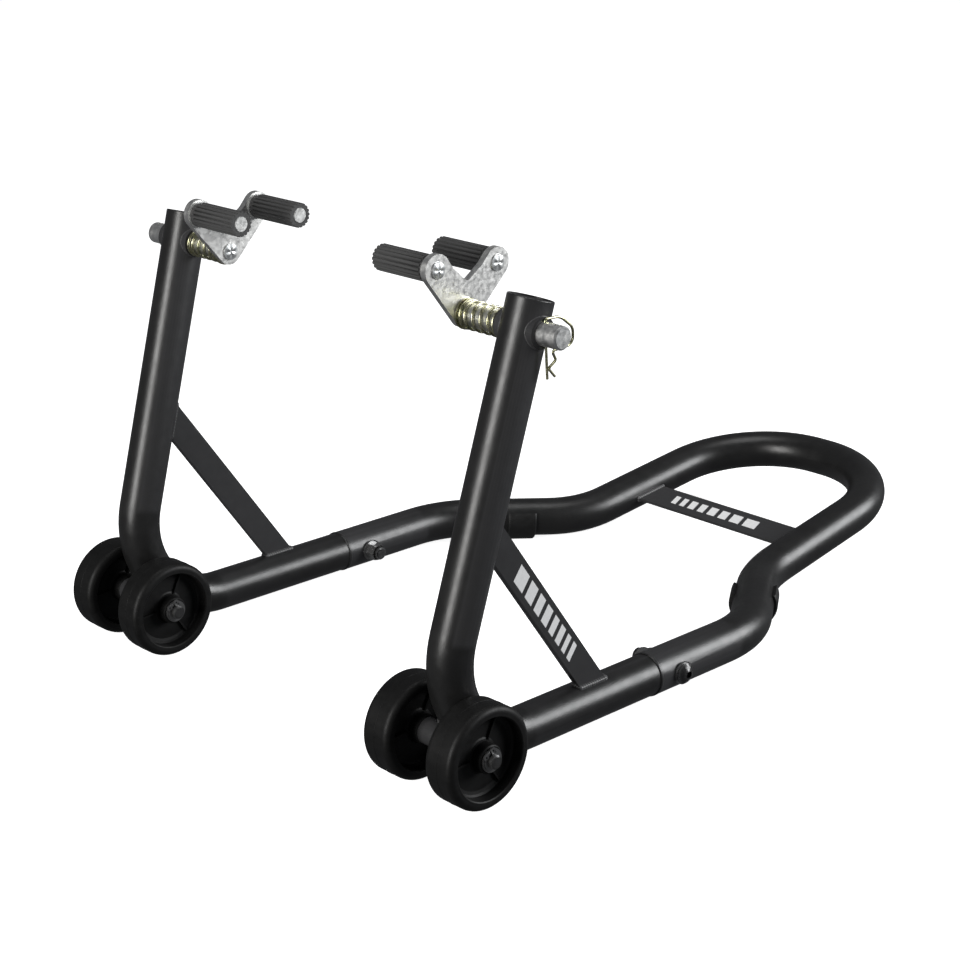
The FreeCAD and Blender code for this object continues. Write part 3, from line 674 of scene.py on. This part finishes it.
def stake_mesh(name, radius, height):
    """Return a staked rivet head: four raised lobes round a struck cross."""
    mesh_builder = bmesh.new()
    rings, spokes = 10, 64
    grid = []
    for ring in range(rings + 1):
        share = ring / rings
        row = []
        for spoke in range(spokes):
            angle = 2 * math.pi * spoke / spokes
            ridge = abs(math.cos(2 * angle)) ** 1.6
            dome = height * (1.0 - share ** 3)
            lift = dome * (0.25 + 0.75 * ridge * (0.35 + 0.65 * math.sin(math.pi * min(1.0, share * 1.05))))
            edge = radius * share * (1.0 + 0.05 * ridge * share)
            row.append(mesh_builder.verts.new((lift, edge * math.cos(angle), edge * math.sin(angle))))
        grid.append(row)
    for inner, outer in zip(grid, grid[1:]):
        for spoke in range(spokes):
            following = (spoke + 1) % spokes
            mesh_builder.faces.new((inner[spoke], outer[spoke], outer[following], inner[following]))
    bmesh.ops.remove_doubles(mesh_builder, verts=mesh_builder.verts, dist=1e-6)
    bmesh.ops.recalc_face_normals(mesh_builder, faces=mesh_builder.faces)
    mesh = bpy.data.meshes.new(name)
    mesh_builder.to_mesh(mesh)
    mesh_builder.free()
    return mesh


def add_stakes():
    """Add the struck crosses on the peg heads and on the inner end of each support pin."""
    for side_name, side in SIDES:
        swivel = SWIVELS[side_name]
        places = (
            ("front", "support_", swivel, PEG_HEAD_X, -PEG_Y, PEG_Z, PEG_STAKE_RADIUS, 1),
            ("rear", "support_", swivel, PEG_HEAD_X, PEG_Y, PEG_Z, PEG_STAKE_RADIUS, 1),
            ("pin", "slider_", PIN_TURN, PIN_INNER_X, 0.0, 0.0, PIN_STAKE_RADIUS, -1),
        )
        for label, body, angle, x, y, z, radius, facing in places:
            name = "stake_%s_%s" % (label, side_name)
            mesh = stake_mesh(name, radius, STAKE_HEIGHT)
            turn = Matrix.Rotation(math.radians(STAKE_TURN), 4, "X")
            flip = Matrix.Scale(facing, 4, Vector((1, 0, 0)))
            place = Matrix.Translation(Vector((x - PIN_MIDDLE_X, y, z)))
            mesh.transform(support_move(side, angle) @ place @ flip @ turn)
            if side * facing < 0:
                mesh.flip_normals()
            new_object(name, mesh, MATERIALS["stake"], body + side_name)


def spring_place(turn, length):
    """Return how far along the spring a turn lies: one close-wound turn at each end."""
    closed_pitch = 2 * SPRING_WIRE + 0.00015
    if turn <= 1.0:
        return turn * closed_pitch
    if turn >= 1.0 + SPRING_TURNS:
        return length - (2.0 + SPRING_TURNS - turn) * closed_pitch
    return closed_pitch + (length - 2 * closed_pitch) * (turn - 1.0) / SPRING_TURNS


def add_springs():
    """Replace each CAD spring with a finer coil, close-wound for one turn at each end."""
    per_turn = 40
    start = SPRING_START + SPRING_WIRE + 0.00005
    length = SPRING_END - SPRING_WIRE - 0.00005 - start
    path = []
    for step in range(int((2.0 + SPRING_TURNS) * per_turn) + 1):
        turn = step / per_turn
        angle = 2 * math.pi * turn
        along = start + spring_place(turn, length) - PIN_MIDDLE_X
        path.append(Vector((along, SPRING_RADIUS * math.cos(angle), SPRING_RADIUS * math.sin(angle))))
    for side_name, side in SIDES:
        move = support_move(side)
        mesh = tube_mesh("spring_coil_" + side_name, path, lambda travelled: SPRING_WIRE, 14)
        mesh.transform(move)
        if side < 0:
            mesh.flip_normals()
        piece = new_object("spring_coil_" + side_name, mesh, MATERIALS["yellow"], "frame")
        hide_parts("spring_" + side_name)
        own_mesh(piece)


# ---------------------------------------------------------------- small moulded and turned details

def lathe_ring(name, centre, axis, profile, segments=128):
    """Return a closed ring turned about an axis from (along, radius) pairs."""
    first = axis.orthogonal().normalized()
    second = axis.cross(first).normalized()
    mesh_builder = bmesh.new()
    rows = []
    for index in range(segments):
        angle = 2 * math.pi * index / segments
        spoke = first * math.cos(angle) + second * math.sin(angle)
        row = []
        for along, radius in profile:
            row.append(mesh_builder.verts.new(centre + axis * along + spoke * radius))
        rows.append(row)
    for index in range(segments):
        row, following = rows[index], rows[(index + 1) % segments]
        for corner in range(len(profile)):
            after = (corner + 1) % len(profile)
            mesh_builder.faces.new((row[corner], row[after], following[after], following[corner]))
    bmesh.ops.recalc_face_normals(mesh_builder, faces=mesh_builder.faces)
    mesh = bpy.data.meshes.new(name)
    mesh_builder.to_mesh(mesh)
    mesh_builder.free()
    return mesh


def add_wheel_lines():
    """Add the raised mould line round the middle of each tread."""
    profile = [(-0.00035, WHEEL_RADIUS - 0.0004), (-0.00012, WHEEL_RADIUS + 0.00016),
               (0.00012, WHEEL_RADIUS + 0.00016), (0.00035, WHEEL_RADIUS - 0.0004)]
    for side_name, side in SIDES:
        for place, offset in (("outer", WHEEL_OFFSET), ("inner", -WHEEL_OFFSET)):
            body = "wheel_%s_%s" % (side_name, place)
            centre = placed((side * (SIDE_X + offset), AXLE_Y, AXLE_Z))
            mesh = lathe_ring(body + "_line", centre, Vector((1, 0, 0)), profile, 160)
            new_object(body + "_line", mesh, MATERIALS["wheel"], body)


def add_socket_rims():
    """Add the rolled lip on the end of each handle socket."""
    profile = [(-0.0006, TUBE_RADIUS + 0.00002), (-0.0006, HANDLE_RADIUS - 0.0001),
               (-0.0001, HANDLE_RADIUS + 0.0002), (0.0012, HANDLE_RADIUS + 0.0002),
               (0.0020, HANDLE_RADIUS - 0.0001)]
    for side_name, side in SIDES:
        centre = placed((side * SIDE_X, JOINT_Y, 0))
        mesh = lathe_ring("socket_rim_" + side_name, centre, Vector((0, 1, 0)), profile, 96)
        new_object("socket_rim_" + side_name, mesh, MATERIALS["frame"], "frame")


# ---------------------------------------------------------------- studio

def add_floor():
    mesh_builder = bmesh.new()
    rim = []
    for index in range(FLOOR_SEGMENTS):
        angle = 2 * math.pi * index / FLOOR_SEGMENTS
        x, y = FLOOR_RADIUS * math.cos(angle), FLOOR_RADIUS * math.sin(angle)
        rim.append(mesh_builder.verts.new((x, y, 0.0)))
    mesh_builder.faces.new(rim)
    mesh = bpy.data.meshes.new("floor")
    mesh_builder.to_mesh(mesh)
    mesh_builder.free()
    mesh.materials.append(floor_paper("floor_paper"))
    floor = bpy.data.objects.new("floor", mesh)
    bpy.context.scene.collection.objects.link(floor)
    floor.visible_glossy = False
    floor.visible_diffuse = False


def add_light(name, place, target, size, power, tint):
    light = bpy.data.lights.new(name, "AREA")
    light.shape = "RECTANGLE"
    light.size, light.size_y = size
    light.energy = power
    light.color = tint
    lamp = bpy.data.objects.new(name, light)
    lamp.location = place
    lamp.rotation_euler = (Vector(target) - Vector(place)).to_track_quat("-Z", "Y").to_euler()
    bpy.context.scene.collection.objects.link(lamp)


def add_world():
    world = bpy.data.worlds.new("studio")
    world.use_nodes = True
    background = world.node_tree.nodes["Background"]
    background.inputs["Color"].default_value = (0.93, 0.95, 1.0, 1.0)
    background.inputs["Strength"].default_value = WORLD_STRENGTH
    bpy.context.scene.world = world


def add_camera():
    azimuth, pitch = math.radians(CAMERA_AZIMUTH), math.radians(CAMERA_PITCH)
    flat = math.cos(pitch)
    back = Vector((math.sin(azimuth) * flat, -math.cos(azimuth) * flat, math.sin(pitch)))
    lens = bpy.data.cameras.new("camera")
    lens.lens = CAMERA_LENS
    lens.sensor_width = 36.0
    lens.clip_end = 60.0
    camera = bpy.data.objects.new("camera", lens)
    camera.location = CAMERA_PLACE
    camera.rotation_euler = back.to_track_quat("Z", "Y").to_euler()
    bpy.context.scene.collection.objects.link(camera)
    bpy.context.scene.camera = camera


def add_studio():
    add_floor()
    add_world()
    for lamp in LAMPS:
        add_light(*lamp)
    bpy.context.scene.view_settings.view_transform = "Standard"


add_camera()
MATERIALS = make_materials()
dress_cad_nodes()
add_welds()
add_prints()
add_stakes()
add_springs()
add_wheel_lines()
add_socket_rims()
add_studio()
